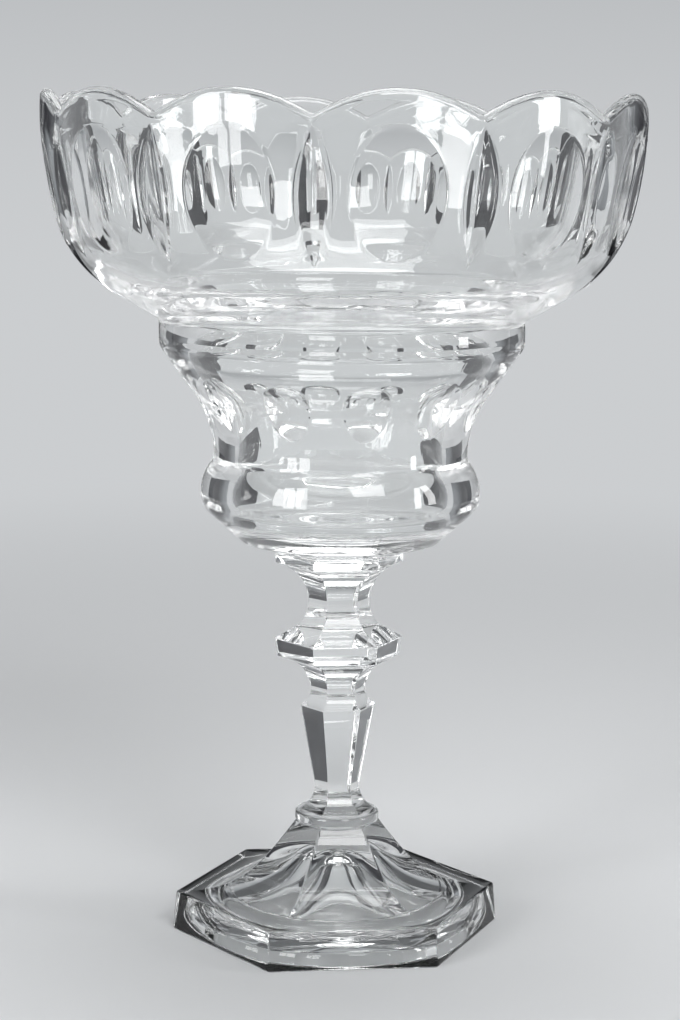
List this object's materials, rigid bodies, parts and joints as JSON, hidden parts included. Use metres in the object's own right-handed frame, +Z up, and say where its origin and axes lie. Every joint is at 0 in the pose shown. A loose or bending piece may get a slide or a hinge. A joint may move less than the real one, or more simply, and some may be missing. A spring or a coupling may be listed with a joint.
{
  "type": "trifle bowl",
  "caption": "Footed trifle bowl in clear glass: a deep scalloped bowl with a hollow lower cup on a six-sided baluster stem and foot, for serving layered desserts.",
  "frame": {"origin": "centre of the face that the foot stands on, on the bowl's axis", "axes": "+Z up along the bowl's axis, -Y towards the viewer through the middle of a flat side of the foot, +X to the viewer's right"},
  "size_m": [0.1974, 0.1974, 0.281],
  "materials": {
    "glass": "clear colourless pressed glass, fire-polished, bright",
    "bond": "clear cured adhesive film, as clear as the glass"
  },
  "bodies": {
    "root": {"foot": "glass", "foot_bond": "bond", "stem": "glass", "bowl_bond": "bond", "bowl": "glass"}
  },
  "joints": []
}
